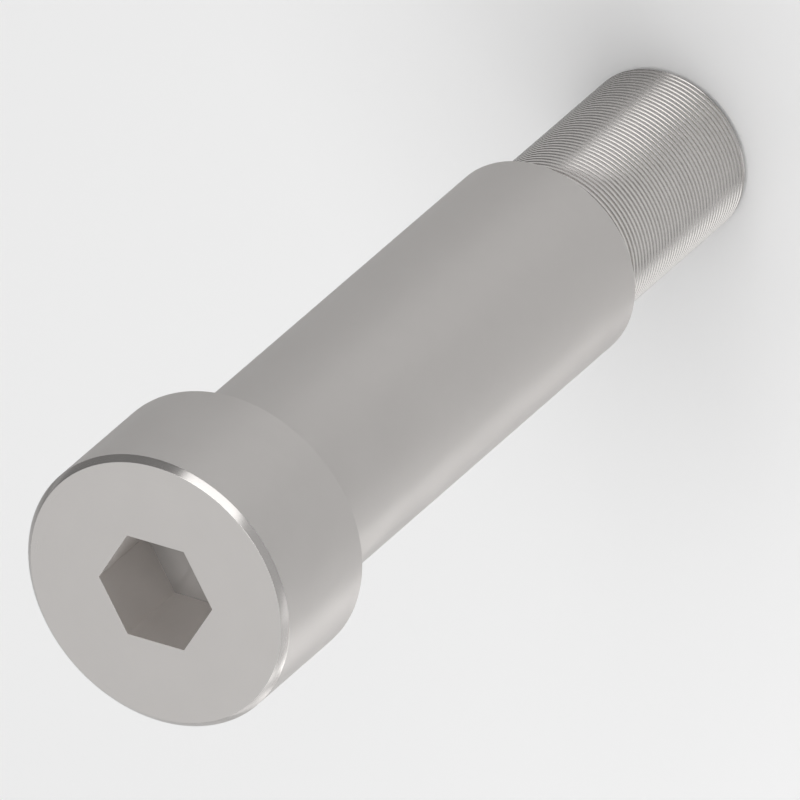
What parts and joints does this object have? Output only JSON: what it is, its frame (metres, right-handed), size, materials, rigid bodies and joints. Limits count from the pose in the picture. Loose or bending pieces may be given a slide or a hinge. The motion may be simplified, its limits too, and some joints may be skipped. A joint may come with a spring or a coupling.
{
  "type": "shoulder bolt",
  "caption": "Socket-head shoulder bolt: a lever, roller or link turns on its ground shoulder while the threaded end holds it to a frame.",
  "frame": {"origin": "centre of the end face of the threaded end, on which the bolt stands", "axes": "+Z along the bolt from the threaded end to the head; two corners of the hexagon socket lie along X"},
  "size_m": [0.0254, 0.0254, 0.0868],
  "materials": {
    "ground_steel": "satin, fine turned and ground stainless steel"
  },
  "bodies": {
    "root": {"shoulder_bolt": "ground_steel"}
  },
  "joints": []
}
